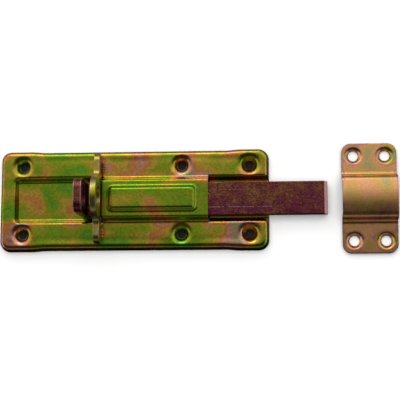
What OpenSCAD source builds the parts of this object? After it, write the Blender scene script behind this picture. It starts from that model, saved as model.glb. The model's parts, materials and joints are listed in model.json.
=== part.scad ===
// Flat slide bolt for a padlock, with its loose keeper.
// A pressed plate carries its own guide tunnel. A flat bar with a turned-up handle
// slides in it, and an upright lug across the plate takes the padlock with the handle.
// Origin: middle of the four end screws, on the mounting plane. +X is the way the bolt is
// thrown, +Z points out from the door.

/* [Base plate] */
// Width of the plate at its ends
plate_wid = 53.6; // [52:0.2:56]
// Distance from the rear screws to the plate's rear end
rear_margin = 12.2; // [10:0.1:13]
// Distance from the front screws to the plate's front end
front_margin = 10.2; // [10:0.1:12]
// How far each long side draws in between the end screws
waist = 0.5; // [0:0.1:0.6]
// Thickness of the pressed sheet
sheet_t = 2; // [1.6:0.1:2.2]
// Height of the plate's flat lands above the door
land_h = 5.5; // [5.2:0.1:6.2]
// Radius of the plate's corners, seen from the front
plate_corner_r = 5.5; // [4:0.5:7]
// Radius where the sheet turns down at the edge
shoulder_r = 2.4; // [1.5:0.1:3]
// Width of the sunk track at the lands
track_wid = 25; // [24:0.2:26]
// Width of the sunk track's floor
track_floor_wid = 19.6; // [19.4:0.2:21]
// Length of the sloped wall that closes the track's rear end
track_end_slope = 2.5; // [1:0.1:3]

/* [Screw holes] */
// Diameter of the plate's screw holes
screw_d = 4.5; // [4:0.1:5]
// Distance between the end screws, along the plate
screw_span_x = 119.7; // [118.7:0.1:121.7]
// Distance between the screws across the plate
screw_span_y = 36.2; // [35.6:0.1:36.6]
// Place of the middle pair of screws, from the origin
mid_screw_x = 24.3; // [10:0.1:36]
// Diameter of the countersunk dimple round the rear and middle screws
dimple_d = 9; // [8:0.1:9.4]
// Diameter of the countersunk dimple round the front screws
front_dimple_d = 10.4; // [8:0.1:10.4]

/* [Guide tunnel] */
// Rear mouth of the tunnel, from the origin
tunnel_rear = -16.8; // [-17:0.1:-14]
// Front mouth of the tunnel, from the origin
tunnel_front = 38.5; // [38:0.1:40]
// Width of the tunnel where it leaves the lands
tunnel_base_wid = 24.2; // [23.6:0.1:24.6]
// Width of the tunnel's roof
tunnel_roof_wid = 19.2; // [18.6:0.1:19.6]
// Height of the tunnel's roof above the door
tunnel_h = 9.6; // [9.4:0.1:10.4]
// Length of the raised panel's foot, along the tunnel
panel_len = 47; // [40:1:48]
// Width of the raised panel's foot
panel_wid = 14.4; // [12:0.2:15]
// Height of the raised panel above the roof
panel_h = 2.2; // [1:0.1:2.6]
// Width of the sloped border of the raised panel
panel_slope = 2.5; // [1:0.1:3]
// How far the raised panel sits behind the tunnel's middle
panel_setback = 1.5; // [0:0.1:1.6]

/* [Bolt] */
// Width of the flat bar
bolt_wid = 17.2; // [17:0.1:18.6]
// Thickness of the flat bar
bolt_t = 4; // [3.8:0.1:4.2]
// Place of the bar's tip when thrown, from the origin
tip_x = 100.3; // [90:0.1:102]
// Length of the bevel on the top edge of the tip
tip_bevel = 1.6; // [0.4:0.1:2]
// Height that the tip's bevel takes off
tip_bevel_drop = 0.9; // [0.4:0.1:2]
// Gap between the handle and the lug when the bolt is thrown
handle_gap = 4.5; // [2:0.1:5]
// Height of the handle's top above the door
handle_h = 26; // [25:0.5:28]
// Radius of the handle's two top corners
handle_corner_r = 5; // [3:0.5:7]
// Outer radius of the bend between bar and handle
bend_r = 5.5; // [4.6:0.1:7]
// Distance that the bolt slides back
travel = 31; // [25:1:33]

/* [Stop rivet] */
// Radius of the rivet's foot, below the bar
rivet_foot_r = 3.1; // [2.8:0.1:3.4]
// Radius of the rivet's flared head, above the bar
rivet_head_r = 4.8; // [4:0.1:5]
// Height of the flared head above the bar
rivet_head_h = 0.45; // [0.2:0.05:0.6]
// Radius of the rivet's shank
rivet_shank_r = 2.6; // [2:0.1:2.7]

/* [Padlock lug] */
// Thickness of the lug
lug_t = 3.2; // [2.5:0.1:3.6]
// Place of the lug's front face, from the origin
lug_front = -17.5; // [-18.5:0.1:-17.4]
// Span of the lug across the plate
lug_span = 46.8; // [44:0.2:47]
// Height of the lug's shoulders above the lands
lug_shoulder_h = 9; // [7:0.5:10]
// Radius of the lug's hump over the bolt
lug_hump_r = 11; // [10:0.5:12]
// Height of the hump's top above the door
lug_top_h = 27; // [26:0.5:28]
// Diameter of the padlock hole
padlock_d = 10.5; // [8:0.1:11]
// Height of the padlock hole's centre above the door
padlock_h = 17.3; // [16.6:0.1:18]

// Place of each weld bead, across the plate
bead_y = 17.2; // [16.6:0.1:19]
// Length of a weld bead
bead_len = 8; // [4:0.5:8]
// Height and width of a weld bead
bead_leg = 2; // [1:0.1:2.4]

/* [Keeper] */
// Place of the keeper's centre, from the origin
keeper_x = 122.2; // [121:0.1:130]
// Length of the keeper, along the bolt
keeper_len = 28.6; // [27:0.1:30]
// Width of the keeper, across the bolt
keeper_wid = 57.8; // [57:0.2:60]
// Radius of the keeper's corners
keeper_corner_r = 4.8; // [3:0.1:6]
// Outer width of the keeper's saddle
saddle_wid = 23.2; // [22.8:0.1:24]
// Height of the saddle's top above the frame
saddle_h = 9.8; // [9:0.1:10.5]
// Outer bend radius at the saddle's top
saddle_r = 3.2; // [2.4:0.1:3.4]
// Bend radius between the saddle and the flanges
saddle_foot_r = 2; // [1:0.1:2.5]
// Diameter of the keeper's screw holes
keeper_screw_d = 5.4; // [4.5:0.1:5.8]
// Distance between the keeper's screws, along the bolt
keeper_span_x = 16.4; // [15:0.1:17]
// Distance between the keeper's screws, across the bolt
keeper_span_y = 44.6; // [44:0.1:46]
// Countersink diameter of the keeper's screws
keeper_csk_d = 8.6; // [6.5:0.1:9]

/* [Hidden] */
$fn = 64;

// Cuts run past the faces they open by this much
over = 1;
// Shapes that meet face to face overlap by this much
seam = 0.01;

plate_x0 = -screw_span_x / 2 - rear_margin;
plate_x1 = screw_span_x / 2 + front_margin;
plate_len = plate_x1 - plate_x0;
plate_mid_x = (plate_x0 + plate_x1) / 2;
// Radius inside the turned-down edge, on the plate's back
inner_shoulder_r = 0.6;
// Each long side slopes in over this length, from this far inside the end screws
waist_slope_len = 8;
waist_clear = 6;
waist_end_half_len = screw_span_x / 2 - waist_clear;
waist_half_len = waist_end_half_len - waist_slope_len;
// Metal round each screw dimple, and how far it stops short of the lands
dimple_wall = 0.6;
dimple_wall_drop = 0.2;

// Clearance between the bar's underside and the track's floor
bolt_lift = 0.3;
// Clearance on each side of the bar and above it, in the tunnel
bore_play = 0.3;
bolt_z0 = sheet_t + bolt_lift;
bolt_z1 = bolt_z0 + bolt_t;
handle_front = lug_front - lug_t - handle_gap;
handle_rear = handle_front - bolt_t;

// Space left between the drawn handle and the foot of the track's rear wall
drawn_gap = 1.8;
track_x0 = handle_rear - travel - drawn_gap - track_end_slope;
// The side walls of the track and of its rear end fall by this height
track_depth = land_h - sheet_t;

// The tunnel's bore, and the slope inside its roof
bore_half = bolt_wid / 2 + bore_play;
bore_shoulder_z = bolt_z1 + bore_play;
bore_roof_z = tunnel_h - sheet_t;
roof_corner_wall = 1.6;
bore_roof_half = tunnel_roof_wid / 2 - roof_corner_wall;
panel_x = (tunnel_rear + tunnel_front) / 2 - panel_setback;
// The hollow under the panel slopes this much more gently than the panel
panel_hollow_ease = 0.6;

// The rivet's foot stops this far behind the tunnel's front cut when the bolt is thrown
rivet_play = 0.3;
rivet_x = tunnel_front - rivet_play - rivet_foot_r;
rivet_foot_z = 0.3;
// Wall of the rivet's hollow, its depth, and the slopes of its flared lip
rivet_wall = 0.8;
rivet_hollow_depth = 2.2;
lip_slope = 0.9;
lip_drop = 0.6;

// Clearance round the bar in the lug's notch
notch_side_play = 0.8;
notch_top_play = 0.9;
lug_notch_half = bolt_wid / 2 + notch_side_play;
lug_notch_z = bolt_z1 + notch_top_play;
lug_end_r = 4;
lug_fillet_r = 3;
// The bead's face is a hollow arc: its centre and radius, as shares of the leg
bead_arc_place = 1.4;
bead_arc_r = 1.05;

// Straight part of the keeper's screw holes, behind the countersink
keeper_csk_land = 0.6;

brass_gold = "#a9a04a";
violet_bronze = "#7c5a52";
lug_grey = "#9a9a6c";
keeper_copper = "#ab8a58";

// A rectangle with round corners, centred
module round_rect(len, wid, r) {
    square([len - 2 * r, wid], center = true);
    square([len, wid - 2 * r], center = true);
    for (sx = [-1, 1], sy = [-1, 1])
        translate([sx * (len / 2 - r), sy * (wid / 2 - r)])
            circle(r);
}

// An arch on the baseline: upright sides, round top corners, hollow fillets at the foot
module arch(half, top, r, foot_r) {
    translate([-half, 0])
        square([2 * half, top - r]);
    translate([-half + r, 0])
        square([2 * (half - r), top]);
    for (s = [-1, 1]) {
        translate([s * (half - r), top - r])
            circle(r);
        difference() {
            translate([s * (half + foot_r / 2), foot_r / 2])
                square(foot_r, center = true);
            translate([s * (half + foot_r), foot_r])
                circle(foot_r);
        }
    }
}

// Stands a flat shape drawn in (Y, Z) up and pulls it from x0 to x1
module along_x(x0, x1) {
    translate([x0, 0, 0])
        rotate([90, 0, 90])
            linear_extrude(x1 - x0)
                children();
}

// Stands a flat shape drawn in (X, Z) up and pulls it across, centred on Y = 0
module along_y(wid) {
    translate([0, wid / 2, 0])
        rotate([90, 0, 0])
            linear_extrude(wid)
                children();
}

// A flat-topped mound with four sloped sides, its foot at z = 0
module mound(len, wid, h, slope) {
    intersection() {
        along_x(-len / 2, len / 2)
            polygon([[-wid / 2, 0], [wid / 2, 0], [wid / 2 - slope, h], [-wid / 2 + slope, h]]);
        along_y(wid)
            polygon([[-len / 2, 0], [len / 2, 0], [len / 2 - slope, h], [-len / 2 + slope, h]]);
    }
}

// Outline of the plate, pulled in by the given inset, with its long sides waisted
module plate_outline(inset) {
    half = plate_wid / 2 - inset;
    difference() {
        translate([plate_mid_x, 0])
            round_rect(plate_len - 2 * inset, plate_wid - 2 * inset, plate_corner_r - inset);
        for (s = [-1, 1])
            scale([1, s])
                polygon([[-waist_end_half_len, half + over], [-waist_end_half_len, half],
                         [-waist_half_len, half - waist], [waist_half_len, half - waist],
                         [waist_end_half_len, half], [waist_end_half_len, half + over]]);
    }
}

// Section of a slab from the door up, with its two top edges rounded
module slab_section(half, h, r) {
    translate([-half, 0])
        square([2 * half, h - r]);
    translate([-half + r, 0])
        square([2 * (half - r), h]);
    for (s = [-1, 1])
        translate([s * (half - r), h - r])
            circle(r);
}

// The plate's outside as a full block
module plate_block(inset, h, r) {
    intersection() {
        linear_extrude(h)
            plate_outline(inset);
        along_x(plate_x0, plate_x1)
            slab_section(plate_wid / 2 - inset, h, r);
        along_y(plate_wid)
            translate([plate_mid_x, 0])
                slab_section(plate_len / 2 - inset, h, r);
    }
}

// The track's hollow above its floor, open at the front end
module track_hollow() {
    rise = over / track_depth;
    side = (track_wid - track_floor_wid) / 2 * rise;
    tail = track_end_slope * rise;
    intersection() {
        along_x(track_x0 - tail, plate_x1 + over)
            polygon([[-track_floor_wid / 2, sheet_t], [track_floor_wid / 2, sheet_t],
                     [track_wid / 2 + side, land_h + over], [-track_wid / 2 - side, land_h + over]]);
        along_y(track_wid + 2 * side)
            polygon([[track_x0 + track_end_slope, sheet_t], [plate_x1 + over, sheet_t],
                     [plate_x1 + over, land_h + over], [track_x0 - tail, land_h + over]]);
    }
}

// The metal round the track, as deep as the plate
module track_tray() {
    translate([track_x0 - sheet_t + track_end_slope, -track_wid / 2 - sheet_t / 2, 0])
        cube([plate_x1 - track_x0 + sheet_t - track_end_slope, track_wid + sheet_t, land_h]);
}

// Runs its children at the six screws; $dimple_r is the dimple's radius there
module at_screws() {
    for (s = [-1, 1]) {
        translate([-screw_span_x / 2, s * screw_span_y / 2, 0])
            let ($dimple_r = dimple_d / 2) children();
        translate([mid_screw_x, s * screw_span_y / 2, 0])
            let ($dimple_r = dimple_d / 2) children();
        translate([screw_span_x / 2, s * screw_span_y / 2, 0])
            let ($dimple_r = front_dimple_d / 2) children();
    }
}

// Outside of the tunnel: sloped sides and a flat roof, with the raised panel
module tunnel_outside() {
    along_x(tunnel_rear, tunnel_front)
        polygon([[-tunnel_base_wid / 2, 0], [tunnel_base_wid / 2, 0],
                 [tunnel_base_wid / 2, land_h], [tunnel_roof_wid / 2, tunnel_h],
                 [-tunnel_roof_wid / 2, tunnel_h], [-tunnel_base_wid / 2, land_h]]);
    translate([panel_x, 0, tunnel_h])
        mound(panel_len, panel_wid, panel_h, panel_slope);
}

// The tunnel's bore, open down to the door because its floor is the metal that was raised
module tunnel_bore() {
    along_x(tunnel_rear - over / 2, tunnel_front)
        polygon([[-bore_half, -over], [bore_half, -over], [bore_half, bore_shoulder_z],
                 [bore_roof_half, bore_roof_z], [-bore_roof_half, bore_roof_z],
                 [-bore_half, bore_shoulder_z]]);
    translate([panel_x, 0, bore_roof_z - over])
        mound(panel_len - sheet_t, panel_wid - sheet_t, panel_h + over, panel_slope + panel_hollow_ease);
}

module base_plate() {
    dimple_floor = sheet_t;
    color(brass_gold)
        difference() {
            union() {
                difference() {
                    plate_block(0, land_h, shoulder_r);
                    translate([0, 0, -over])
                        plate_block(sheet_t, land_h - sheet_t + over, inner_shoulder_r);
                }
                intersection() {
                    plate_block(0, land_h, shoulder_r);
                    track_tray();
                }
                at_screws()
                    cylinder(r = $dimple_r + dimple_wall, h = land_h - dimple_wall_drop);
                tunnel_outside();
            }
            difference() {
                track_hollow();
                tunnel_outside();
            }
            tunnel_bore();
            at_screws() {
                translate([0, 0, -over])
                    cylinder(d = screw_d, h = land_h);
                translate([0, 0, dimple_floor])
                    cylinder(r1 = screw_d / 2, r2 = $dimple_r, h = land_h - dimple_floor);
                translate([0, 0, land_h - seam])
                    cylinder(r = $dimple_r, h = over);
            }
        }
}

module padlock_lug() {
    shoulder_z = land_h + lug_shoulder_h;
    hump_z = lug_top_h - lug_hump_r;
    color(lug_grey)
        along_x(lug_front - lug_t, lug_front)
            difference() {
                union() {
                    translate([-lug_span / 2, land_h])
                        square([lug_span, lug_shoulder_h - lug_end_r]);
                    translate([-lug_span / 2 + lug_end_r, land_h])
                        square([lug_span - 2 * lug_end_r, lug_shoulder_h]);
                    for (s = [-1, 1])
                        translate([s * (lug_span / 2 - lug_end_r), shoulder_z - lug_end_r])
                            circle(lug_end_r);
                    translate([0, hump_z])
                        circle(lug_hump_r);
                    translate([0, shoulder_z - over])
                        arch(lug_hump_r, hump_z - shoulder_z + over + seam, seam, seam);
                    for (s = [-1, 1])
                        difference() {
                            translate([s * (lug_hump_r + lug_fillet_r / 2), shoulder_z + lug_fillet_r / 2])
                                square(lug_fillet_r, center = true);
                            translate([s * (lug_hump_r + lug_fillet_r), shoulder_z + lug_fillet_r])
                                circle(lug_fillet_r);
                        }
                }
                translate([-lug_notch_half, land_h - over])
                    square([2 * lug_notch_half, lug_notch_z - land_h + over]);
                translate([0, padlock_h])
                    circle(d = padlock_d);
            }
}

// A fillet weld in the corner between the lug's front face and a land
module weld_bead(side) {
    color(violet_bronze)
        translate([lug_front, side * bead_y + bead_len / 2, land_h])
            rotate([90, 0, 0])
                linear_extrude(bead_len)
                    difference() {
                        square(bead_leg);
                        translate([bead_leg * bead_arc_place, bead_leg * bead_arc_place])
                            circle(bead_leg * bead_arc_r);
                    }
}

module weld_bead_left() {
    weld_bead(1);
}

module weld_bead_right() {
    weld_bead(-1);
}

// Side view of the bar: flat blade, round bend, upright handle, bevelled tip
module bolt_side() {
    inner_r = bend_r - bolt_t;
    bend_x = handle_rear + bend_r;
    polygon([[bend_x, bolt_z0], [tip_x, bolt_z0], [tip_x, bolt_z1 - tip_bevel_drop],
             [tip_x - tip_bevel, bolt_z1], [bend_x, bolt_z1]]);
    translate([handle_rear, bolt_z0 + bend_r])
        square([bolt_t, handle_h - bolt_z0 - bend_r]);
    intersection() {
        translate([bend_x, bolt_z0 + bend_r])
            difference() {
                circle(bend_r);
                circle(inner_r);
            }
        translate([handle_rear, bolt_z0])
            square(bend_r);
    }
}

module bolt_bar() {
    color(violet_bronze)
        difference() {
            intersection() {
                along_y(bolt_wid)
                    bolt_side();
                along_x(handle_rear, tip_x)
                    translate([0, bolt_z0])
                        slab_section(bolt_wid / 2, handle_h - bolt_z0, handle_corner_r);
            }
            translate([rivet_x, 0, bolt_z0 - over])
                cylinder(r = rivet_shank_r, h = bolt_t + 2 * over);
            translate([handle_rear - over, 0, padlock_h])
                rotate([0, 90, 0])
                    cylinder(d = padlock_d, h = bolt_t + 2 * over);
        }
}

module stop_rivet() {
    hollow_r = rivet_shank_r - rivet_wall;
    lip_r = rivet_head_r - lip_slope;
    hollow_z = bolt_z1 - rivet_hollow_depth;
    color(violet_bronze)
        translate([rivet_x, 0, 0])
            rotate_extrude()
                polygon([[0, rivet_foot_z], [rivet_foot_r, rivet_foot_z], [rivet_foot_r, bolt_z0],
                         [rivet_shank_r, bolt_z0], [rivet_shank_r, bolt_z1], [rivet_head_r, bolt_z1],
                         [lip_r, bolt_z1 + rivet_head_h], [hollow_r, bolt_z1 - lip_drop],
                         [hollow_r, hollow_z], [0, hollow_z]]);
}

module keeper() {
    inner_half = saddle_wid / 2 - sheet_t;
    inner_top = saddle_h - sheet_t;
    inner_r = saddle_r - sheet_t;
    color(keeper_copper)
        translate([keeper_x, 0, 0])
            difference() {
                intersection() {
                    along_x(-keeper_len / 2, keeper_len / 2)
                        difference() {
                            union() {
                                translate([-keeper_wid / 2, 0])
                                    square([keeper_wid, sheet_t]);
                                translate([0, sheet_t])
                                    arch(saddle_wid / 2, saddle_h - sheet_t, saddle_r, saddle_foot_r);
                            }
                            translate([0, -over])
                                arch(inner_half, inner_top + over, inner_r, seam);
                        }
                    linear_extrude(saddle_h + over)
                        round_rect(keeper_len, keeper_wid, keeper_corner_r);
                }
                for (sx = [-1, 1], sy = [-1, 1])
                    translate([sx * keeper_span_x / 2, sy * keeper_span_y / 2, 0]) {
                        translate([0, 0, -over])
                            cylinder(d = keeper_screw_d, h = sheet_t + 2 * over);
                        translate([0, 0, keeper_csk_land])
                            cylinder(d1 = keeper_screw_d, d2 = keeper_csk_d, h = sheet_t - keeper_csk_land);
                        translate([0, 0, sheet_t - seam])
                            cylinder(d = keeper_csk_d, h = over);
                    }
            }
}

base_plate();
padlock_lug();
weld_bead_left();
weld_bead_right();
bolt_bar();
stop_rivet();
keeper();
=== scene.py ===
"""Looks of the flat padlock bolt: pressed plate, bar with bent handle, lug, rivet, keeper.

Plate, bar and keeper are sheets or flat bars of one thickness, so each is a Skin: a grid of
points on the front and the matching points on the back. The rivet is lathed, the lug is
stamped from an outline and the welds are lumpy fillets.
Lengths are metres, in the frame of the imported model.
"""
import json
import math

import bmesh
import bpy
import numpy as np
from mathutils import Matrix, Quaternion, Vector, noise


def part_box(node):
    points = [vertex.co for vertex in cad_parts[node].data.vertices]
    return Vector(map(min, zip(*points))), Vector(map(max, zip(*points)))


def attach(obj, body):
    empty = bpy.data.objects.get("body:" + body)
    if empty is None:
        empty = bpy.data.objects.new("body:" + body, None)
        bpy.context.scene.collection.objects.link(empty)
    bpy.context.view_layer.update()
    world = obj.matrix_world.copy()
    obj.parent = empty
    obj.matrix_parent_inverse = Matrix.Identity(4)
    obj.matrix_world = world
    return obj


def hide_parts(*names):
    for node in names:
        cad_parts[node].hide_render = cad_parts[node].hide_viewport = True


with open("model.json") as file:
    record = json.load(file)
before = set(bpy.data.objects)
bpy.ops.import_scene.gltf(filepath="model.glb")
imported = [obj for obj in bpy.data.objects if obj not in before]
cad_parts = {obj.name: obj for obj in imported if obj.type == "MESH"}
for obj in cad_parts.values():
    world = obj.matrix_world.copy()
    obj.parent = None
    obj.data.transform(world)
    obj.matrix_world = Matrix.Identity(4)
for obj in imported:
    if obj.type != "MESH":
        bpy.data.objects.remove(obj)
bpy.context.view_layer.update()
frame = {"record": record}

MM = 0.001
record = frame["record"]
mounts = {m["name"]: m for m in record["mounts"]}


# ---------------------------------------------------------------- places from the frame

def node_box(name):
    lo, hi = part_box(name)
    return np.array(lo), np.array(hi)


PLATE_LO, PLATE_HI = node_box("base_plate")
BAR_LO, BAR_HI = node_box("bolt_bar")
LUG_LO, LUG_HI = node_box("padlock_lug")
KEEPER_LO, KEEPER_HI = node_box("keeper")
RIVET_LO, RIVET_HI = node_box("stop_rivet")
WELD_LO, WELD_HI = node_box("weld_bead_left")

SHEET = 2.0 * MM                        # thickness of the pressed sheet and of the keeper
LAND = LUG_LO[2]                        # the lug stands on the lands
FLOOR = SHEET                           # floor of the sunk track
BAR_BOTTOM = BAR_LO[2]
BAR_T = 4.0 * MM
BAR_TOP = BAR_BOTTOM + BAR_T
BAR_HALF = BAR_HI[1]
PADLOCK_Z = mounts["lug_padlock_hole"]["pos_m"][2]
PADLOCK_R = mounts["lug_padlock_hole"]["dims"]["r_mm"] * MM


def pattern(name):
    """Centres of the holes of a bolt pattern mount, and their radius."""
    m = mounts[name]
    d = m["dims"]
    sx, sy = d.get("spacing_x_mm", 0) * MM / 2, d.get("spacing_y_mm", 0) * MM / 2
    x0, y0 = m["pos_m"][:2]
    spots = sorted({(x0 + i * sx, y0 + j * sy) for i in (-1, 1) for j in (-1, 1)})
    return spots, d["hole_r_mm"] * MM


# ---------------------------------------------------------------- shape helpers

def ramp(t, soft=0.35):
    """0 to 1 as t goes from 0 to 1, straight in the middle and rounded at both ends."""
    t = np.clip(t, 0.0, 1.0)
    low = t * t / (2 * soft * (1 - soft))
    high = 1 - (1 - t) ** 2 / (2 * soft * (1 - soft))
    mid = (t - soft / 2) / (1 - soft)
    return np.where(t < soft, low, np.where(t > 1 - soft, high, mid))


def inside_round_rect(x, y, half_x, half_y, r):
    """Distance inside a rounded rectangle's outline (negative outside)."""
    qx, qy = np.abs(x) - (half_x - r), np.abs(y) - (half_y - r)
    outside = np.hypot(np.maximum(qx, 0), np.maximum(qy, 0))
    return r - outside - np.minimum(np.maximum(qx, qy), 0)


def round_corners(u, v, half_u, half_v, r):
    """Bends a rectangular grid so that its four corners become round."""
    a = np.clip((np.abs(u) - (half_u - r)) / r, 0, 1)
    b = np.clip((np.abs(v) - (half_v - r)) / r, 0, 1)
    u2 = np.where(a > 0, np.sign(u) * (half_u - r + r * a * np.sqrt(1 - b * b / 2)), u)
    v2 = np.where(b > 0, np.sign(v) * (half_v - r + r * b * np.sqrt(1 - a * a / 2)), v)
    return u2, v2


def spaced(stops, step):
    """Grid lines through every stop, no further apart than step."""
    stops = sorted(set(round(s, 7) for s in stops))
    out = [stops[0]]
    for a, b in zip(stops, stops[1:]):
        n = max(1, math.ceil((b - a) / step - 1e-6))
        out += [a + (b - a) * (i + 1) / n for i in range(n)]
    return np.array(out)


RIM_REACH = 1.6                         # in hole radii: grid points this near move to the rim
EDGE_ROUND = 0.22 * MM                  # rounding of the cut edges


class Skin:
    """Front and back points of a thin piece, its faces, and per-point finish values."""

    def __init__(self):
        self.front, self.back, self.film, self.quads = [], [], [], []
        self.lookup = {}

    def point(self, f, b, film):
        key = tuple(np.round(np.concatenate([f, b]) * 1e6).astype(int))
        if key not in self.lookup:
            self.lookup[key] = len(self.front)
            self.front.append(f)
            self.back.append(b)
            self.film.append(film)
        return self.lookup[key]

    def add_grid(self, front, back, film, holes=(), axes=(0, 1)):
        """Adds a grid of quads, less those in the holes: (a, b, radius, low, high), with a and b
        along the two axes, and low and high along the third."""
        nu, nv = front.shape[:2]
        third = 3 - axes[0] - axes[1]
        cx = (front[:-1, :-1] + front[1:, :-1] + front[:-1, 1:] + front[1:, 1:]) / 4
        keep = np.ones((nu - 1, nv - 1), bool)
        for hx, hy, r, low, high in holes:
            dist = np.hypot(cx[..., axes[0]] - hx, cx[..., axes[1]] - hy)
            here = (cx[..., third] > low) & (cx[..., third] < high)
            keep &= ~((dist < r) & here)
        used = np.zeros((nu, nv), bool)
        for i, j in ((0, 0), (1, 0), (0, 1), (1, 1)):
            used[i:nu - 1 + i, j:nv - 1 + j] |= keep
        for hx, hy, r, low, high in holes:
            dx, dy = front[..., axes[0]] - hx, front[..., axes[1]] - hy
            dist = np.hypot(dx, dy)
            gone = np.zeros((nu, nv), bool)
            for i, j in ((0, 0), (1, 0), (0, 1), (1, 1)):
                gone[i:nu - 1 + i, j:nv - 1 + j] |= ~keep
            level = (front[..., third] > low) & (front[..., third] < high)
            rim = used & gone & (dist < r * RIM_REACH) & level
            for skin in (front, back):
                for axis, centre, d in ((axes[0], hx, dx), (axes[1], hy, dy)):
                    on_rim = centre + d / np.maximum(dist, 1e-9) * r
                    skin[..., axis] = np.where(rim, on_rim, skin[..., axis])
        index = np.full((nu, nv), -1)
        for i, j in zip(*np.nonzero(used)):
            index[i, j] = self.point(front[i, j], back[i, j], film[i, j])
        for i, j in zip(*np.nonzero(keep)):
            quad = (index[i, j], index[i + 1, j], index[i + 1, j + 1], index[i, j + 1])
            if len(set(quad)) == 4:
                self.quads.append(quad)

    def build(self, name, edge_round, segments=2, limit=50):
        """Closes the front and back skins into one solid and rounds its cut edges."""
        n = len(self.front)
        bm = bmesh.new()
        film_layer = bm.verts.layers.float.new("film")
        verts = []
        for p, value in zip(self.front + self.back, self.film * 2):
            v = bm.verts.new(p)
            v[film_layer] = value
            verts.append(v)
        edges = {}
        for q in self.quads:
            bm.faces.new([verts[i] for i in q])
            bm.faces.new([verts[i + n] for i in reversed(q)])
            for a, b in zip(q, q[1:] + q[:1]):
                edges[(a, b)] = True
        for a, b in edges:
            if (b, a) not in edges:
                bm.faces.new([verts[b], verts[a], verts[a + n], verts[b + n]])
        bmesh.ops.recalc_face_normals(bm, faces=bm.faces)
        return finish_mesh(bm, name, edge_round, segments, limit)


def finish_mesh(bm, name, edge_round, segments=2, limit=50):
    mesh = bpy.data.meshes.new(name)
    bm.to_mesh(mesh)
    bm.free()
    for p in mesh.polygons:
        p.use_smooth = True
    obj = bpy.data.objects.new(name, mesh)
    bpy.context.scene.collection.objects.link(obj)
    if edge_round:
        bevel = obj.modifiers.new("edges", "BEVEL")
        bevel.width = edge_round
        bevel.segments = segments
        bevel.limit_method = "ANGLE"
        bevel.angle_limit = math.radians(limit)
        bevel.use_clamp_overlap = True
    return obj


# ---------------------------------------------------------------- base plate

PLATE_MID_X = (PLATE_LO[0] + PLATE_HI[0]) / 2
PLATE_HALF_X, PLATE_HALF_Y = (PLATE_HI[0] - PLATE_LO[0]) / 2, PLATE_HI[1]
SCREW_X = mounts["plate_screws"]["dims"]["spacing_x_mm"] * MM / 2
PLATE_CORNER = 5.5 * MM
WAIST = 0.5 * MM                        # the long sides draw in between the end screws
SHOULDER_R = 2.6 * MM
SKIRT_FLARE = 0.5 * MM
HANDLE_RUN = 35.3 * MM                  # from the thrown handle back to the track's rear edge
TRACK_REAR = BAR_LO[0] - HANDLE_RUN
TRACK_HALF = 12.5 * MM
TRACK_WALL = 2.7 * MM                   # width of the track's sloped sides
TRACK_CORNER = 3.2 * MM
TUNNEL_REAR, TUNNEL_FRONT = -16.8 * MM, 38.5 * MM
TUNNEL_HALF = 12.2 * MM
TUNNEL_WALL = 3.0 * MM
TUNNEL_TOP = 9.6 * MM
PANEL_X = 9.35 * MM
PANEL_HALF_X, PANEL_HALF_Y = 23.5 * MM, 7.2 * MM
PANEL_SLOPE = 2.5 * MM
PANEL_CORNER = 3.0 * MM
DIMPLE_R, FRONT_DIMPLE_R = 5.0 * MM, 5.7 * MM
DIMPLE_SOFT, CUP_DEPTH = 1.1 * MM, 1.3 * MM       # a shallow cup round the steep screw seat
CROWN_START, CROWN_DROP = 18.5 * MM, 0.65 * MM    # the lands fall away towards the long edges
GRID = 0.55 * MM
SEAT_START = 0.8                        # where the steep seat begins, in hole radii
SEAT_GAP = 0.1 * MM                     # the seat's rim stays this much above the track floor
CUP_SOFT, SEAT_SOFT = 0.48, 0.42
PANEL_SPREAD, BEND_SPREAD, WALL_SPREAD = 0.6, 0.5, 0.2    # how much each bend widens on the back
BACK_SPREAD, CUT_FADE = 1.3 * MM, 3 * MM        # spread of the back, which fades at the torn cuts
SKIRT_RINGS = (0, 0.2, 0.4, 0.52, 0.6, 0.68, 0.76, 0.84, 0.92, 1.0)
BEND_LINES = (TRACK_HALF, TRACK_HALF - TRACK_WALL, 9.0 * MM)     # grid lines along the track
WAIST_INSET, WAIST_FADE = 4 * MM, 9 * MM
WAIST_SIDE, WAIST_RISE = 19 * MM, 6 * MM
WAVE_DEPTH, SHORT_WAVE, LONG_WAVE, SLANT = 0.07 * MM, 7.5 * MM, 12.1 * MM, 9 * MM
WAVE_START = 1.3
SAG_FADE = 4 * MM
EDGE_FILM, DIMPLE_FILM, TEAR_FILM, WALL_FILM, WELD_FILM = 0.22, 0.12, 0.35, 0.16, 0.36
POOL, WALL_POOL = 2.6 * MM, 1.6 * MM    # width of the film's pools, and of those on the walls


def screw_dimples():
    """Screw centres of the plate, each with its hole's and its dimple's radius."""
    out = []
    for name in ("plate_screws", "plate_mid_screws"):
        spots, hole_r = pattern(name)
        for x, y in spots:
            out.append((x, y, hole_r, FRONT_DIMPLE_R if x > TUNNEL_FRONT else DIMPLE_R))
    return out


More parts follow.
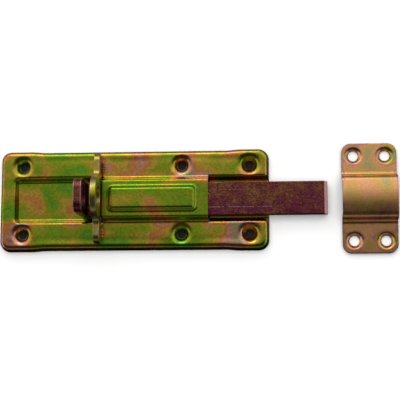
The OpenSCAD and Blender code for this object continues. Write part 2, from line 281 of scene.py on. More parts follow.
def plate_height(x, y, raised, spread):
    """Height of the sheet's front. raised: inside the tunnel's length. spread: extra
    width of every bend, for the sheet's back."""
    if raised:
        up = (PLATE_HI[2] - TUNNEL_TOP) * ramp(
            (inside_round_rect(x - PANEL_X, y, PANEL_HALF_X, PANEL_HALF_Y, PANEL_CORNER)
             - spread * PANEL_SPREAD)
            / PANEL_SLOPE)
        h = LAND + (TUNNEL_TOP - LAND) * ramp((TUNNEL_HALF - spread * BEND_SPREAD - np.abs(y))
                                              / (TUNNEL_WALL + spread * WALL_SPREAD)) + up
    else:
        length = PLATE_HI[0] - TRACK_REAR + TRACK_CORNER * 4
        d = inside_round_rect(x - TRACK_REAR - length / 2, y, length / 2, TRACK_HALF, TRACK_CORNER)
        h = LAND - (LAND - FLOOR) * ramp((d + spread) / TRACK_WALL)
    for sx, sy, hole_r, rim_r in screw_dimples():
        r = np.hypot(x - sx, y - sy)
        inner = hole_r * SEAT_START
        widened = spread * BEND_SPREAD
        cup = 1 - ramp((r - hole_r - widened) / (rim_r + DIMPLE_SOFT - hole_r), CUP_SOFT)
        sink = 1 - ramp((r - inner - widened) / (rim_r - DIMPLE_SOFT - inner), SEAT_SOFT)
        h = h - CUP_DEPTH * cup - (LAND - FLOOR - CUP_DEPTH - SEAT_GAP) * sink
    return h


def skirt_section(e):
    """Inset, height share and outward normal at distance e up the turned-down edge."""
    wall = LAND - SHOULDER_R
    arc = SHOULDER_R * math.pi / 2
    theta = np.clip((e - wall) / SHOULDER_R, 0, math.pi / 2)
    rise = np.clip(e, 0, wall) + SHOULDER_R * np.sin(theta)
    inset = SKIRT_FLARE * np.clip(e / wall, 0, 1) + SHOULDER_R * (1 - np.cos(theta))
    return inset, rise / LAND, np.cos(theta), np.sin(theta), wall + arc


def film_phase(x, y, edge):
    """Thickness of the passivation film by place: it pools at bends, rims and tears."""
    phase = EDGE_FILM * edge
    for sx, sy, _, rim_r in screw_dimples():
        r = np.hypot(x - sx, y - sy)
        phase = phase + DIMPLE_FILM * np.exp(-((r - rim_r) / POOL) ** 2)
    for side in (-1, 1):
        r = np.hypot(x - TUNNEL_FRONT, y - side * TUNNEL_HALF)
        phase = phase + TEAR_FILM * np.exp(-(r / POOL) ** 2)
        wall = np.abs(y - side * (TRACK_HALF + 0.5 * MM)) / WALL_POOL
        phase = phase + WALL_FILM * np.exp(-wall ** 2)
        r = np.hypot((x - WELD_HI[0]) / 2, y - side * (WELD_LO[1] + WELD_HI[1]) / 2)
        phase = phase + WELD_FILM * np.exp(-(r / POOL) ** 2) * (x > LUG_HI[0])
    return phase


def base_plate():
    skin = Skin()
    top_len = skirt_section(np.array(0.0))[4]
    grow = top_len - SKIRT_FLARE - SHOULDER_R
    half_u, half_v, corner = PLATE_HALF_X + grow, PLATE_HALF_Y + grow, PLATE_CORNER + grow
    skirt = [top_len * k for k in SKIRT_RINGS]
    v_stops = [s * (half_v - k) for k in skirt for s in (-1, 1)]
    v_stops += [s * y for y in BEND_LINES for s in (-1, 1)] + [0.0]
    v = spaced(v_stops, GRID)
    ends = [-half_u + k for k in skirt], [half_u - k for k in skirt]
    mouths = [TUNNEL_REAR - PLATE_MID_X, TUNNEL_FRONT - PLATE_MID_X]
    spans = ((ends[0] + mouths[:1], False), (mouths, True), (mouths[1:] + ends[1], False))
    holes = [(x, y, r, -1.0, 1.0) for x, y, r, _ in screw_dimples()]
    for stops, raised in spans:
        gu, gv = np.meshgrid(spaced(stops, GRID), v, indexing="ij")
        u2, v2 = round_corners(gu, gv, half_u, half_v, corner)
        qx, qy = np.abs(u2) - (half_u - corner), np.abs(v2) - (half_v - corner)
        both = (qx > 0) & (qy > 0)
        reach = np.where(both, np.hypot(qx, qy), np.maximum(qx, qy))
        e = corner - reach
        nx = np.where(both, qx / np.maximum(reach, 1e-9), (qx > qy).astype(float)) * np.sign(u2)
        ny = np.where(both, qy / np.maximum(reach, 1e-9), (qy >= qx).astype(float)) * np.sign(v2)
        inset, share, out_n, up_n, _ = skirt_section(e)
        shift = np.where(e < top_len, e - grow - inset, 0.0)
        x, y = PLATE_MID_X + u2 + nx * shift, v2 + ny * shift
        waist = ramp((SCREW_X - WAIST_INSET - np.abs(x)) / WAIST_FADE)
        waist = waist * ramp((np.abs(y) - WAIST_SIDE) / WAIST_RISE)
        y = y - np.sign(y) * WAIST * waist
        sag = WAVE_DEPTH * (np.sin(x / SHORT_WAVE + WAVE_START) + np.sin(x / LONG_WAVE + y / SLANT))
        outer = np.maximum(np.abs(y) - CROWN_START, 0) / (PLATE_HALF_Y - CROWN_START)
        sag = (sag + CROWN_DROP * outer ** 2) * ramp((e - top_len) / SAG_FADE)
        near_cut = np.minimum(np.abs(x - TUNNEL_REAR), np.abs(x - TUNNEL_FRONT))
        spread = BACK_SPREAD * ramp(near_cut / CUT_FADE)
        front_h = plate_height(x, y, raised, 0.0) - sag
        back_h = plate_height(x, y, raised, spread) - sag
        out_n = np.where(e < top_len, out_n, 0.0)
        up_n = np.where(e < top_len, up_n, 1.0)
        front = np.stack([x, y, share * front_h], -1)
        back = np.stack([x - nx * SHEET * out_n, y - ny * SHEET * out_n,
                         share * back_h - SHEET * up_n], -1)
        back[..., 2] = np.maximum(back[..., 2], 0.0)
        film = film_phase(x, y, np.clip(1 - e / (top_len * 1.2), 0, 1))
        skin.add_grid(front, back, film, holes)
    return skin.build("base_plate_skin", EDGE_ROUND)


# ---------------------------------------------------------------- bar with bent handle

BAR_REAR = BAR_LO[0]
TIP_X = BAR_HI[0]
TIP_BEVEL, TIP_BEVEL_DROP = 1.6 * MM, 0.9 * MM
HANDLE_TOP = BAR_HI[2]
HANDLE_CORNER = 5.0 * MM
BEND_IN = 1.5 * MM
RIVET_X = (RIVET_LO[0] + RIVET_HI[0]) / 2
RIVET_SHANK_R = 2.6 * MM
RIVET_ZONE = 4 * MM                     # finer grid on both sides of the rivet
BAR_FILM = 0.16                         # the film thickens across the bar, to +Y


def bolt_bar():
    """The bar's front skin runs down the handle, round the bend and along to the tip."""
    leg = HANDLE_TOP - BAR_TOP - BEND_IN
    arc = BEND_IN * math.pi / 2
    blade = TIP_X - BAR_REAR - BAR_T - BEND_IN
    front_x = BAR_REAR + BAR_T
    stretch = 3.0                        # grid lines round the bend, for its larger outside
    s_stops = [0.0, HANDLE_CORNER, leg, leg + arc * stretch, leg + arc * stretch + blade - TIP_BEVEL,
               leg + arc * stretch + blade]
    rivet_s = s_stops[3] + RIVET_X - front_x - BEND_IN
    fine, coarse = 0.5 * MM, 1.0 * MM
    s = np.unique(np.concatenate([spaced(s_stops[:4], fine), spaced(s_stops[3:5], coarse),
                                  spaced([rivet_s - RIVET_ZONE, rivet_s + RIVET_ZONE], fine),
                                  spaced(s_stops[4:], 0.4 * MM)]).round(7))
    w = spaced([-BAR_HALF, -BAR_HALF + HANDLE_CORNER, 0, BAR_HALF - HANDLE_CORNER, BAR_HALF], 0.5 * MM)
    gs, gw = np.meshgrid(s, w, indexing="ij")
    a = np.clip((HANDLE_CORNER - gs) / HANDLE_CORNER, 0, 1)
    b = np.clip((np.abs(gw) - (BAR_HALF - HANDLE_CORNER)) / HANDLE_CORNER, 0, 1)
    y = np.where((a > 0) & (b > 0), np.sign(gw) * (BAR_HALF - HANDLE_CORNER + HANDLE_CORNER * b
                                                   * np.sqrt(1 - a * a / 2)), gw)
    drop = np.where(a > 0, HANDLE_CORNER - HANDLE_CORNER * a * np.sqrt(1 - b * b / 2), gs)
    theta = np.clip((gs - leg) / (arc * stretch), 0, 1) * math.pi / 2
    along = np.clip(gs - leg - arc * stretch, 0, None)
    cx, cz = front_x + BEND_IN, BAR_TOP + BEND_IN
    bevel = np.clip(along - (blade - TIP_BEVEL), 0, None)

    def skin_points(r, lower):
        x = cx - r * np.cos(theta) + along
        z = np.where(gs < leg, HANDLE_TOP - drop, cz - r * np.sin(theta))
        z = z - (0 if lower else TIP_BEVEL_DROP / TIP_BEVEL) * bevel
        return np.stack([x, y, z], -1)

    front, back = skin_points(BEND_IN, False), skin_points(BEND_IN + BAR_T, True)
    skin = Skin()
    film = BAR_FILM * y / BAR_HALF
    high = front[..., 2] > BAR_TOP + BEND_IN * 2
    split = int(np.argmax(~high[:, 0]))
    handle, blade_rows = slice(0, split + 1), slice(split, None)
    skin.add_grid(front[handle], back[handle], film[handle],
                  [(0.0, PADLOCK_Z, PADLOCK_R, -1, 1)], (1, 2))
    skin.add_grid(front[blade_rows], back[blade_rows], film[blade_rows],
                  [(RIVET_X, 0.0, RIVET_SHANK_R, -1, 1)], (0, 1))
    return skin.build("bolt_bar_skin", EDGE_ROUND, segments=3, limit=22)


# ---------------------------------------------------------------- turned and stamped pieces

def lathe(name, profile, centre, steps=72):
    """Spins (radius, height) points about a vertical axis."""
    bm = bmesh.new()
    rings = []
    for r, z in profile:
        if r == 0:
            rings.append([bm.verts.new((centre[0], centre[1], z))] * steps)
        else:
            rings.append([bm.verts.new((centre[0] + r * math.cos(2 * math.pi * k / steps),
                                        centre[1] + r * math.sin(2 * math.pi * k / steps), z))
                          for k in range(steps)])
    for a, b in zip(rings, rings[1:]):
        for k in range(steps):
            corners = [a[k], a[(k + 1) % steps], b[(k + 1) % steps], b[k]]
            unique = list(dict.fromkeys(corners))
            if len(unique) > 2:
                bm.faces.new(unique)
    bmesh.ops.recalc_face_normals(bm, faces=bm.faces)
    return finish_mesh(bm, name, 0.0)


def stop_rivet():
    """Semi-tubular rivet: foot below the bar, flared lip and hollow above."""
    foot_r = 3.1 * MM
    head_r = RIVET_HI[0] - RIVET_X
    top = RIVET_HI[2]
    hollow_r = RIVET_SHANK_R - 0.7 * MM
    gap, chamfer, lip_steps = 0.02 * MM, 0.3 * MM, 8
    seat = BAR_TOP + gap
    shank_r = RIVET_SHANK_R - gap
    profile = [(0, RIVET_LO[2]), (foot_r - chamfer, RIVET_LO[2]), (foot_r, RIVET_LO[2] + chamfer),
               (foot_r, BAR_BOTTOM), (shank_r, BAR_BOTTOM), (shank_r, seat), (head_r, seat)]
    for k in range(lip_steps):
        t = k / lip_steps
        swell = math.sin(math.pi * (0.12 + 0.88 * t)) ** 0.8
        profile.append((head_r - (head_r - hollow_r) * t, seat + (top - seat) * swell))
    profile.append((hollow_r, BAR_TOP - 0.5 * MM))
    profile += [(hollow_r - 0.15 * MM, BAR_TOP - 1.9 * MM), (hollow_r - 0.7 * MM, BAR_TOP - 2.2 * MM),
                (0, BAR_TOP - 2.3 * MM)]
    return lathe("stop_rivet_turned", profile, (RIVET_X, 0.0))


def arc_points(cx, cy, r, start, stop, steps):
    """Points along an arc, in degrees, both ends included."""
    return [(cx + r * math.cos(math.radians(start + (stop - start) * k / steps)),
             cy + r * math.sin(math.radians(start + (stop - start) * k / steps))) for k in range(steps + 1)]


def stamped(name, outline, holes, thickness, edge_round, place):
    """A flat stamping with rounded edges: outline and holes are lists of (a, b) points."""
    curve = bpy.data.curves.new(name, "CURVE")
    curve.dimensions = "2D"
    curve.fill_mode = "BOTH"
    curve.extrude = thickness / 2 - edge_round
    curve.bevel_depth = edge_round
    curve.bevel_resolution = 3
    curve.offset = -edge_round
    for loop in [outline] + holes:
        spline = curve.splines.new("POLY")
        spline.points.add(len(loop) - 1)
        for point, (a, b) in zip(spline.points, loop):
            point.co = (a, b, 0, 1)
        spline.use_cyclic_u = True
    temp = bpy.data.objects.new(name + "_curve", curve)
    bpy.context.scene.collection.objects.link(temp)
    bpy.context.view_layer.update()
    mesh = bpy.data.meshes.new_from_object(temp.evaluated_get(bpy.context.evaluated_depsgraph_get()))
    bpy.data.objects.remove(temp)
    mesh.name = name
    mesh.transform(place)
    bm = bmesh.new()
    bm.from_mesh(mesh)
    bmesh.ops.remove_doubles(bm, verts=bm.verts, dist=1e-6)
    bmesh.ops.recalc_face_normals(bm, faces=bm.faces)
    bm.to_mesh(mesh)
    bm.free()
    for p in mesh.polygons:
        p.use_smooth = True
    obj = bpy.data.objects.new(name, mesh)
    bpy.context.scene.collection.objects.link(obj)
    obj.modifiers.new("flat_faces", "WEIGHTED_NORMAL").keep_sharp = True
    return obj


def padlock_lug():
    """Upright lug across the plate: sloped shoulders and a hump with the padlock hole."""
    half, top = LUG_HI[1], LUG_HI[2]
    shoulder = LAND + 9.0 * MM
    hump_r = 11.0 * MM
    hump_z = top - hump_r
    fillet = 3.5 * MM
    end_r = 4.0 * MM
    side_gap, top_gap = 0.8 * MM, 0.9 * MM       # room for the bar under the lug
    notch_half, notch_z = BAR_HALF + side_gap, BAR_TOP + top_gap
    foot_z = LAND
    right = [(half, foot_z)] + arc_points(half - end_r, shoulder - end_r, end_r, 0, 90, 10)
    # the fillet touches the shoulder line and the hump's circle
    fz = shoulder + fillet
    fy = math.sqrt((hump_r + fillet) ** 2 - (fz - hump_z) ** 2)
    meet = math.degrees(math.atan2(fz - hump_z, fy))
    right += arc_points(fy, fz, fillet, 270, 180 + meet, 10)
    right += arc_points(0, hump_z, hump_r, meet, 90, 24)[1:]
    left = [(-y, z) for y, z in reversed(right[:-1])]
    notch_r = 1.0 * MM
    notch = [(-notch_half, foot_z)]
    notch += arc_points(-notch_half + notch_r, notch_z - notch_r, notch_r, 180, 90, 5)
    notch += [(-y, z) for y, z in reversed(notch)]
    outline = right + left + notch
    hole = arc_points(0, PADLOCK_Z, PADLOCK_R, 0, 360, 64)[:-1]
    stand = Matrix(((0, 0, 1, (LUG_LO[0] + LUG_HI[0]) / 2), (1, 0, 0, 0), (0, 1, 0, 0), (0, 0, 0, 1)))
    edge_round = 0.35 * MM
    return stamped("padlock_lug_stamped", outline, [hole], LUG_HI[0] - LUG_LO[0], edge_round, stand)


RIPPLES, RIPPLE_DEPTH = 34, 0.09        # the puddle marks along a bead
LUMP_DEPTH = 0.10


def weld_bead(name, cad_node):
    """A short lumpy fillet of weld in the corner of lug and land."""
    lo, hi = node_box(cad_node)
    bm = bmesh.new()
    length, leg = hi[1] - lo[1], hi[0] - lo[0]
    rings = []
    along, round_steps = 36, 10
    for i in range(along + 1):
        t = i / along
        taper = max(0.02, math.sin(math.pi * t) ** 0.45)
        wander = 0.05 * noise.noise(Vector((t * 9, lo[1] * 900, 0)))
        ripple = 0.86 + RIPPLE_DEPTH * math.cos(t * RIPPLES) + wander
        size = leg * taper * ripple
        y = lo[1] + length * t
        ring = [bm.verts.new((lo[0], y, lo[2]))]
        for k in range(round_steps + 1):
            angle = math.pi / 2 * k / round_steps
            bulge = size * (0.80 + 0.20 * math.sin(2 * angle))
            lump = 1 + LUMP_DEPTH * noise.noise(Vector((y * 1800, angle * 2, lo[1] * 500)))
            r = min(bulge * lump, leg)
            ring.append(bm.verts.new((lo[0] + r * math.cos(angle), y, lo[2] + r * math.sin(angle))))
        rings.append(ring)
    count = len(rings[0])
    for a, b in zip(rings, rings[1:]):
        for k in range(count):
            bm.faces.new([a[k], a[(k + 1) % count], b[(k + 1) % count], b[k]])
    bm.faces.new(rings[0])
    bm.faces.new(list(reversed(rings[-1])))
    bmesh.ops.recalc_face_normals(bm, faces=bm.faces)
    return finish_mesh(bm, name, 0.0)


# ---------------------------------------------------------------- keeper

def keeper():
    """A bent strip: flange, wall, crowned saddle, wall, flange."""
    cx = (KEEPER_LO[0] + KEEPER_HI[0]) / 2
    half_len, half_wid, top = (KEEPER_HI[0] - KEEPER_LO[0]) / 2, KEEPER_HI[1], KEEPER_HI[2]
    wall_y, foot_r, bend_r, corner = 11.6 * MM, 2.0 * MM, 3.4 * MM, 4.8 * MM
    crown, flange_lift = 1.5 * MM, 0.5 * MM
    flat = half_wid - wall_y - foot_r
    wall = top - crown - bend_r - SHEET - foot_r - flange_lift
    roof = wall_y - bend_r
    foot_arc, bend_arc = foot_r * math.pi / 2, bend_r * math.pi / 2
    marks = np.cumsum([0, flat, foot_arc, wall, bend_arc, roof])
    v = spaced(list(marks) + [corner], 0.5 * MM)
    s = np.concatenate([v, 2 * marks[-1] - v[-2::-1]])
    t = np.minimum(s, 2 * marks[-1] - s)
    side = np.where(s <= marks[-1], -1.0, 1.0)
    a1 = np.clip((t - marks[1]) / foot_r, 0, math.pi / 2)
    a2 = np.clip((t - marks[3]) / bend_r, 0, math.pi / 2)
    up = np.clip(t - marks[2], 0, wall)
    roof_in = np.clip(t - marks[4], 0, None)
    dist = half_wid - np.clip(t, 0, flat) - foot_r * np.sin(a1) - bend_r * (1 - np.cos(a2)) - roof_in
    z = SHEET + flange_lift * np.clip(t / flat, 0, 1) + foot_r * (1 - np.cos(a1)) + up + bend_r * np.sin(a2)
    z = z + crown * np.where(t > marks[3], 1 - (dist / wall_y) ** 2, 0.0)
    y = side * dist
    path = np.stack([np.zeros_like(y), y, z], -1)
    tangent = np.gradient(path, s, axis=0)
    normal = np.stack([np.zeros_like(y), -tangent[:, 2], tangent[:, 1]], -1)
    normal /= np.linalg.norm(normal, axis=1, keepdims=True)
    u = spaced([-half_len, -half_len + corner, 0, half_len - corner, half_len], 0.6 * MM)
    spots, hole_r = pattern("keeper_screws")
    gu, gs = np.meshgrid(u, s, indexing="ij")
    total = s[-1]
    u2, s2 = round_corners(gu, gs - total / 2, half_len, total / 2, corner)
    s2 = s2 + total / 2
    front = np.stack([cx + u2, np.interp(s2, s, y), np.interp(s2, s, z)], -1)
    back_n = np.stack([np.zeros_like(u2), np.interp(s2, s, normal[:, 1]),
                       np.interp(s2, s, normal[:, 2])], -1)
    back = front - back_n * SHEET
    csk_r, csk_floor = 4.3 * MM, 0.6 * MM
    rim_film, rim_pool, edge_film, edge_pool = 0.35, 1.6 * MM, 0.25, 2.5 * MM
    film = np.zeros_like(u2)
    for hx, hy in spots:
        r = np.hypot(front[..., 0] - hx, front[..., 1] - hy)
        depth = (SHEET - csk_floor) * np.clip((csk_r - r) / (csk_r - hole_r), 0, 1)
        front[..., 2] -= np.minimum(depth, SHEET - csk_floor)
        film += rim_film * np.exp(-((r - csk_r) / rim_pool) ** 2)
    edge = np.minimum(half_len - np.abs(u2), np.minimum(s2, total - s2))
    film += edge_film * np.clip(1 - edge / edge_pool, 0, 1)
    skin = Skin()
    skin.add_grid(front, back, film, [(hx, hy, hole_r, -1, 1) for hx, hy in spots])
    return skin.build("keeper_strip", 0.3 * MM)


# ---------------------------------------------------------------- materials

def node(tree, kind, **values):
    made = tree.nodes.new(kind)
    for key, value in values.items():
        setattr(made, key, value)
    return made


def noise_field(tree, coord, scale, detail=2.0, rough=0.5, distort=0.0):
    made = node(tree, "ShaderNodeTexNoise")
    tree.links.new(coord, made.inputs["Vector"])
    made.inputs["Scale"].default_value = scale
    made.inputs["Detail"].default_value = detail
    made.inputs["Roughness"].default_value = rough
    made.inputs["Distortion"].default_value = distort
    return made.outputs["Fac"]


def math_node(tree, operation, a, b=None, c=None, clamp=False):
    made = node(tree, "ShaderNodeMath", operation=operation, use_clamp=clamp)
    for socket, value in zip(made.inputs, (a, b, c)):
        if value is None:
            continue
        if isinstance(value, (int, float)):
            socket.default_value = value
        else:
            tree.links.new(value, socket)
    return made.outputs[0]


def colour_ramp(tree, fac, stops):
    made = node(tree, "ShaderNodeValToRGB")
    made.color_ramp.interpolation = "EASE"
    elements = made.color_ramp.elements
    while len(elements) < len(stops):
        elements.new(0.5)
    for element, (place, colour) in zip(elements, stops):
        element.position = place
        element.color = (*colour, 1)
    tree.links.new(fac, made.inputs["Fac"])
    return made.outputs["Color"]


def mix_colour(tree, blend, fac, a, b):
    made = node(tree, "ShaderNodeMix", data_type="RGBA", blend_type=blend, clamp_result=True)
    for name, value in (("Factor", fac), ("A", a), ("B", b)):
        socket = [s for s in made.inputs if s.name == name and s.enabled][0]
        if isinstance(value, (int, float)):
            socket.default_value = value
        elif isinstance(value, tuple):
            socket.default_value = (*value, 1)
        else:
            tree.links.new(value, socket)
    return [s for s in made.outputs if s.enabled][0]


LEAF = (0.14, 0.36, 0.03)
MOSS = (0.26, 0.37, 0.02)
OLIVE = (0.38, 0.35, 0.03)
GOLD = (0.55, 0.37, 0.05)
AMBER = (0.62, 0.24, 0.06)
ROSE = (0.60, 0.29, 0.19)
LILAC = (0.42, 0.32, 0.17)
GREY_GOLD = (0.46, 0.40, 0.22)
COPPER = (0.82, 0.40, 0.20)
HONEY = (0.72, 0.42, 0.12)
BRONZE = (0.25, 0.14, 0.06)
RUST = (0.27, 0.10, 0.05)
MAROON = (0.23, 0.06, 0.055)
PLUM = (0.20, 0.045, 0.07)
MAGENTA = (0.19, 0.025, 0.055)
# pale pink of worn plating; on the bar's tip bevel and handle rims it is also a painted highlight
WORN_AND_SHEEN = (0.78, 0.46, 0.44)


SPOT_LOW, SPOT_HIGH = 0.36, 0.62        # where the grain's noise turns from dark to light
SMEAR_LOW, SMEAR_HIGH = 0.3, 0.7
BUMP_STRENGTH, BUMP_HEIGHT = 0.35, 0.05 * MM
SCRATCH_DEPTH = 0.3


def zinc(name, stops, patch=60.0, swing=2.4, centre=0.35, mottle=0.2, grain=900.0, rough=(0.26, 0.42),
         grain_depth=0.25, speckle=0.25, seed=0.0, wear_and_sheen=None):
    """Zinc-dichromate plating: interference colours that wander with the film's thickness,
    over a metal whose grain gives the gloss its fine break-up."""
    mat = bpy.data.materials.new(name)
    mat.use_nodes = True
    tree = mat.node_tree
    shader = tree.nodes["Principled BSDF"]
    shader.inputs["Metallic"].default_value = 1.0
    coords = node(tree, "ShaderNodeTexCoord").outputs["Object"]
    shifted = node(tree, "ShaderNodeMapping")
    shifted.inputs["Location"].default_value = (seed, seed * 0.7, seed * 0.3)
    tree.links.new(coords, shifted.inputs["Vector"])
    place = shifted.outputs["Vector"]
    pool = node(tree, "ShaderNodeAttribute", attribute_name="film").outputs["Fac"]
    drift = noise_field(tree, place, patch, 1.4, 0.5, 0.6)
    cloud = noise_field(tree, place, patch * 5, 3.0, 0.6, 0.3)
    phase = math_node(tree, "MULTIPLY_ADD", drift, swing, centre - swing / 2 - mottle / 2)
    phase = math_node(tree, "MULTIPLY_ADD", cloud, mottle, phase)
    phase = math_node(tree, "ADD", phase, pool)
    wave = math_node(tree, "FRACT", phase)
    colour = colour_ramp(tree, wave, stops)
    fine = noise_field(tree, place, grain, 3.0, 0.65)
    spots = colour_ramp(tree, fine, [(SPOT_LOW, (1 - speckle,) * 3),
                                      (SPOT_HIGH, (1 + speckle * 0.3,) * 3)])
    colour = mix_colour(tree, "MULTIPLY", 1.0, colour, spots)
    smear = noise_field(tree, place, patch * 2.2, 3.0, 0.6)
    gloss = node(tree, "ShaderNodeMapRange")
    tree.links.new(smear, gloss.inputs["Value"])
    gloss.inputs["From Min"].default_value = SMEAR_LOW
    gloss.inputs["From Max"].default_value = SMEAR_HIGH
    gloss.inputs["To Min"].default_value = rough[0]
    gloss.inputs["To Max"].default_value = rough[1]
    bump_height = math_node(tree, "MULTIPLY", fine, grain_depth)
    # the bar's mask of worn lines and painted highlights on its rims turns the colour pale here
    if wear_and_sheen:
        mask = wear_and_sheen(tree, coords)
        colour = mix_colour(tree, "MIX", mask, colour, WORN_AND_SHEEN)
        bump_height = math_node(tree, "SUBTRACT", bump_height,
                                math_node(tree, "MULTIPLY", mask, SCRATCH_DEPTH))
    bump = node(tree, "ShaderNodeBump")
    bump.inputs["Strength"].default_value = BUMP_STRENGTH
    bump.inputs["Distance"].default_value = BUMP_HEIGHT
    tree.links.new(bump_height, bump.inputs["Height"])
    tree.links.new(colour, shader.inputs["Base Color"])
    tree.links.new(gloss.outputs["Result"], shader.inputs["Roughness"])
    tree.links.new(bump.outputs["Normal"], shader.inputs["Normal"])
    return mat


RUB_Y = 4.5 * MM                        # the flared rivet lip marks the bar's centre strip
RUB_LINES = ((-RUB_Y, 0.55, 73 * MM), (RUB_Y, 0.25, 60 * MM))      # place, strength, front end
RUB_HALF = 0.11 * MM
RUB_BREAKS = 0.44                       # noise below this leaves a gap in a rubbed line
HAIR_SCALE = (60, 4200, 400)            # hair scratches are long along X and fine across
HAIR_SHARE, HAIR_STRENGTH = 0.70, 0.30
TIP_MARGIN = 0.12 * MM
RIM_WEAR_AND_SHEEN = 0.35 * MM                        # width of the handle's pale rims: worn plating with a painted highlight on the rounded edges
HANDLE_WEAR_AND_SHEEN, TIP_BEVEL_SHEEN = 0.55, 0.9       # how pale they go: worn plating and painted highlight on the handle's rims, painted highlight on the tip's bevel


def bar_wear_and_sheen(tree, coords):
    """Rubbed lines along the blade, hair scratches, a painted highlight on the tip's bevel, and pale handle
    rims: worn plating with a painted highlight.
    """
    split = node(tree, "ShaderNodeSeparateXYZ")
    tree.links.new(coords, split.inputs[0])
    x, y = split.outputs["X"], split.outputs["Y"]
    breaks = noise_field(tree, coords, 260.0, 3.0, 0.7)
    broken = math_node(tree, "GREATER_THAN", breaks, RUB_BREAKS)
    lines = None
    for line_y, strength, reach in RUB_LINES:
        offset = math_node(tree, "ABSOLUTE", math_node(tree, "SUBTRACT", y, line_y))
        near = math_node(tree, "LESS_THAN", offset, RUB_HALF)
        span = math_node(tree, "LESS_THAN", x, reach)
        line = math_node(tree, "MULTIPLY", math_node(tree, "MULTIPLY", near, span), strength)
        lines = line if lines is None else math_node(tree, "ADD", lines, line)
    streaks = node(tree, "ShaderNodeMapping")
    streaks.inputs["Scale"].default_value = HAIR_SCALE
    tree.links.new(coords, streaks.inputs["Vector"])
    fine = noise_field(tree, streaks.outputs["Vector"], 1.0, 2.0, 0.6)
    hairs = math_node(tree, "MULTIPLY", math_node(tree, "GREATER_THAN", fine, HAIR_SHARE), HAIR_STRENGTH)
    rubbed = math_node(tree, "ADD", math_node(tree, "MULTIPLY", lines, broken), hairs)
    # painted highlight: the tip's bevel is made pale, as if it caught the light
    bevel = math_node(tree, "MULTIPLY", math_node(tree, "GREATER_THAN", x, TIP_X - TIP_BEVEL),
                      math_node(tree, "LESS_THAN", x, TIP_X - TIP_MARGIN))
    # the handle's rims: worn plating and a painted highlight on the rounded edges
    rim = math_node(tree, "ABSOLUTE", math_node(tree, "SUBTRACT", x, BAR_REAR + BAR_T / 2))
    rim_sheen = math_node(tree, "MULTIPLY", math_node(tree, "GREATER_THAN", rim, BAR_T / 2 - RIM_WEAR_AND_SHEEN),
                     math_node(tree, "GREATER_THAN", split.outputs["Z"], HANDLE_TOP - HANDLE_CORNER))
    rim_sheen = math_node(tree, "ADD", math_node(tree, "MULTIPLY", rim_sheen, HANDLE_WEAR_AND_SHEEN),
                     math_node(tree, "MULTIPLY", bevel, TIP_BEVEL_SHEEN))
    return math_node(tree, "ADD", rubbed, rim_sheen, clamp=True)


PLATE_STOPS = [(0.0, MOSS), (0.14, LEAF), (0.30, MOSS), (0.42, OLIVE), (0.55, GOLD), (0.66, AMBER),
               (0.77, ROSE), (0.88, LILAC), (1.0, MOSS)]
LUG_STOPS = [(0.0, OLIVE), (0.3, GREY_GOLD), (0.55, GOLD), (0.8, GREY_GOLD), (1.0, OLIVE)]
WELD_STOPS = [(0.0, MAROON), (0.4, AMBER), (0.7, GOLD), (1.0, MAROON)]
BAR_STOPS = [(0.0, MAGENTA), (0.2, PLUM), (0.42, MAROON), (0.62, RUST), (0.82, BRONZE), (1.0, MAGENTA)]
KEEPER_STOPS = [(0.0, OLIVE), (0.16, GREY_GOLD), (0.34, HONEY), (0.52, COPPER), (0.70, ROSE), (0.86, HONEY),
                (1.0, OLIVE)]

plate_zinc = zinc("plate_zinc", PLATE_STOPS, patch=52.0, swing=1.6, centre=0.38, rough=(0.16, 0.30),
                  speckle=0.2, seed=0.31)
lug_zinc = zinc("lug_zinc", LUG_STOPS, patch=90.0, rough=(0.25, 0.42), grain_depth=0.6, seed=0.12)
weld_zinc = zinc("weld_zinc", WELD_STOPS, patch=220.0, rough=(0.35, 0.6), grain_depth=0.9, seed=0.45)
bolt_zinc = zinc("bolt_zinc", BAR_STOPS, patch=110.0, swing=1.5, centre=0.42, mottle=0.7, grain=1700.0,
                 rough=(0.30, 0.46), grain_depth=0.8, speckle=0.7, seed=0.77, wear_and_sheen=bar_wear_and_sheen)
keeper_zinc = zinc("keeper_zinc", KEEPER_STOPS, patch=60.0, swing=1.5, centre=0.40, grain=1300.0,
                   rough=(0.18, 0.30), speckle=0.12, seed=0.58)


# ---------------------------------------------------------------- pieces on their bodies

def settle(piece, body, replaced, material):
    piece.data.materials.clear()
    piece.data.materials.append(material)
    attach(piece, body)
    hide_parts(replaced)


settle(base_plate(), "plate", "base_plate", plate_zinc)
settle(padlock_lug(), "plate", "padlock_lug", lug_zinc)
settle(weld_bead("weld_left", "weld_bead_left"), "plate", "weld_bead_left", weld_zinc)
settle(weld_bead("weld_right", "weld_bead_right"), "plate", "weld_bead_right", weld_zinc)
settle(bolt_bar(), "bolt", "bolt_bar", bolt_zinc)
settle(stop_rivet(), "bolt", "stop_rivet", bolt_zinc)
settle(keeper(), "keeper", "keeper", keeper_zinc)


# ---------------------------------------------------------------- studio

def stage_sheet(name, centre, half_x, half_y, height, level):
    """A flat grey sheet under the object, left out of the metal's reflections."""
    bm = bmesh.new()
    for sx, sy in ((-1, -1), (1, -1), (1, 1), (-1, 1)):
        bm.verts.new((centre + sx * half_x, sy * half_y, height))
    bm.faces.new(bm.verts)
    obj = finish_mesh(bm, name, 0.0)
    mat = bpy.data.materials.new(name)
    mat.use_nodes = True
    shader = mat.node_tree.nodes["Principled BSDF"]
    shader.inputs["Base Color"].default_value = (level, level, level, 1)
    shader.inputs["Roughness"].default_value = 0.9
    obj.data.materials.append(mat)
    obj.visible_glossy = False


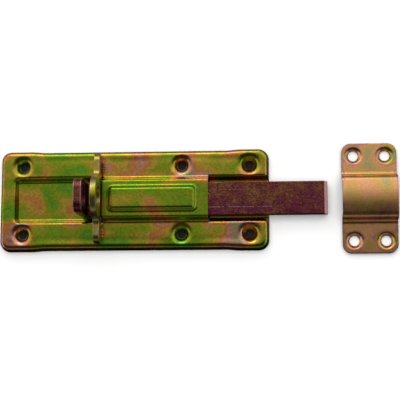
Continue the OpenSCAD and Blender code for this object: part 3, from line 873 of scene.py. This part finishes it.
def area_light(name, place, target, size, power, glossy=True):
    data = bpy.data.lights.new(name, "AREA")
    data.shape = "RECTANGLE"
    data.size, data.size_y = size
    data.energy = power
    obj = bpy.data.objects.new(name, data)
    obj.location = place
    obj.rotation_mode = "QUATERNION"
    obj.rotation_quaternion = (Vector(target) - Vector(place)).to_track_quat("-Z", "Y")
    obj.visible_camera = False
    obj.visible_glossy = glossy
    bpy.context.scene.collection.objects.link(obj)


def smooth_step(tree, value, low, high):
    made = node(tree, "ShaderNodeMapRange", interpolation_type="SMOOTHSTEP")
    tree.links.new(value, made.inputs["Value"])
    made.inputs["From Min"].default_value = low
    made.inputs["From Max"].default_value = high
    return made.outputs["Result"]


SWEEP = ((0.0, 0.05), (0.36, 0.03), (0.48, 0.10), (0.58, 0.42), (0.70, 1.0), (0.85, 1.1))
LOW_BAND, END_PANELS = 0.32, 0.9


def studio_world(backdrop):
    """Light that grows from dark in front of the object (-Y) to bright behind it (+Y), with a
    dim band low down all round and bright panels at both ends. The camera sees the backdrop."""
    world = bpy.data.worlds.new("studio")
    world.use_nodes = True
    tree = world.node_tree
    split = node(tree, "ShaderNodeSeparateXYZ")
    tree.links.new(node(tree, "ShaderNodeTexCoord").outputs["Generated"], split.inputs[0])
    y, z = split.outputs["Y"], split.outputs["Z"]
    across = math_node(tree, "MULTIPLY_ADD", y, 0.5, 0.5)
    sky = colour_ramp(tree, across, [(place, (level,) * 3) for place, level in SWEEP])
    high = smooth_step(tree, z, -0.10, 0.50)
    sky = math_node(tree, "MULTIPLY", sky, math_node(tree, "MULTIPLY_ADD", high, 0.82, 0.18))
    above = smooth_step(tree, z, -0.12, 0.05)
    low = math_node(tree, "MULTIPLY", above, smooth_step(tree, z, 0.50, 0.22))
    ends = smooth_step(tree, math_node(tree, "ABSOLUTE", split.outputs["X"]), 0.66, 0.92)
    sky = math_node(tree, "MAXIMUM", sky, math_node(tree, "MULTIPLY", low, LOW_BAND))
    end_panels = math_node(tree, "MULTIPLY", math_node(tree, "MULTIPLY", above, ends), END_PANELS)
    sky = math_node(tree, "MAXIMUM", sky, end_panels)
    seen = node(tree, "ShaderNodeLightPath").outputs["Is Camera Ray"]
    shown = math_node(tree, "ADD", math_node(tree, "MULTIPLY", sky, math_node(tree, "SUBTRACT", 1.0, seen)),
                      math_node(tree, "MULTIPLY", seen, backdrop))
    background = tree.nodes["Background"]
    background.inputs["Color"].default_value = (1, 1, 1, 1)
    tree.links.new(shown, background.inputs["Strength"])
    bpy.context.scene.world = world


FLOOR_HALF, FLOOR_Z, FLOOR_GREY = 12.0, -0.30 * MM, 0.86
SHADE_SHEET_INSET, SHADE_SHEET_Z, SHADE_SHEET_GREY = 4 * MM, -0.15 * MM, 0.012      # dark sheet under the plate: painted shade seen through the plate's holes
stage_sheet("studio_floor", 0.0, FLOOR_HALF, FLOOR_HALF, FLOOR_Z, FLOOR_GREY)
# painted shade: a near-black sheet under the plate stands in for the shade inside its screw holes
stage_sheet("hole_shade_sheet", PLATE_MID_X, PLATE_HALF_X - SHADE_SHEET_INSET, PLATE_HALF_Y - SHADE_SHEET_INSET,
            SHADE_SHEET_Z, SHADE_SHEET_GREY)
studio_world(backdrop=0.97)
area_light("window", (-0.15, 0.80, 0.62), (0.03, 0, 0), (0.5, 0.25), 1.0)
area_light("fill", (0.03, 0, 2.4), (0.03, 0, 0), (3.0, 3.0), 62.0, glossy=False)
bpy.context.scene.view_settings.view_transform = "Standard"

VIEW_LEAN_X, VIEW_LEAN_Y = 4.1, -9.0    # degrees that the view leans to the front end and down
VIEW_DISTANCE = 0.6
SENSOR_WIDTH = 36.0
VIEW_ROLL = 0.63                        # degrees, the plate's front end stands higher
VIEW_WIDTH = 0.20945                    # what the frame takes in at the object
look_at = Vector((0.03396, -0.0003, 0.003))
toward = Vector((math.tan(math.radians(VIEW_LEAN_X)), math.tan(math.radians(VIEW_LEAN_Y)), 1)).normalized()
camera_data = bpy.data.cameras.new("camera")
camera = bpy.data.objects.new("camera", camera_data)
bpy.context.scene.collection.objects.link(camera)
camera_data.sensor_width = SENSOR_WIDTH
camera_data.lens = camera_data.sensor_width * VIEW_DISTANCE / VIEW_WIDTH
camera.location = look_at + toward * VIEW_DISTANCE
camera.rotation_mode = "QUATERNION"
across = (Vector((1, 0, 0)) - toward * toward.x).normalized()
across.rotate(Quaternion(toward, -math.radians(VIEW_ROLL)))
camera.rotation_quaternion = Matrix((across, toward.cross(across), toward)).transposed().to_quaternion()
bpy.context.scene.camera = camera

bpy.context.view_layer.update()
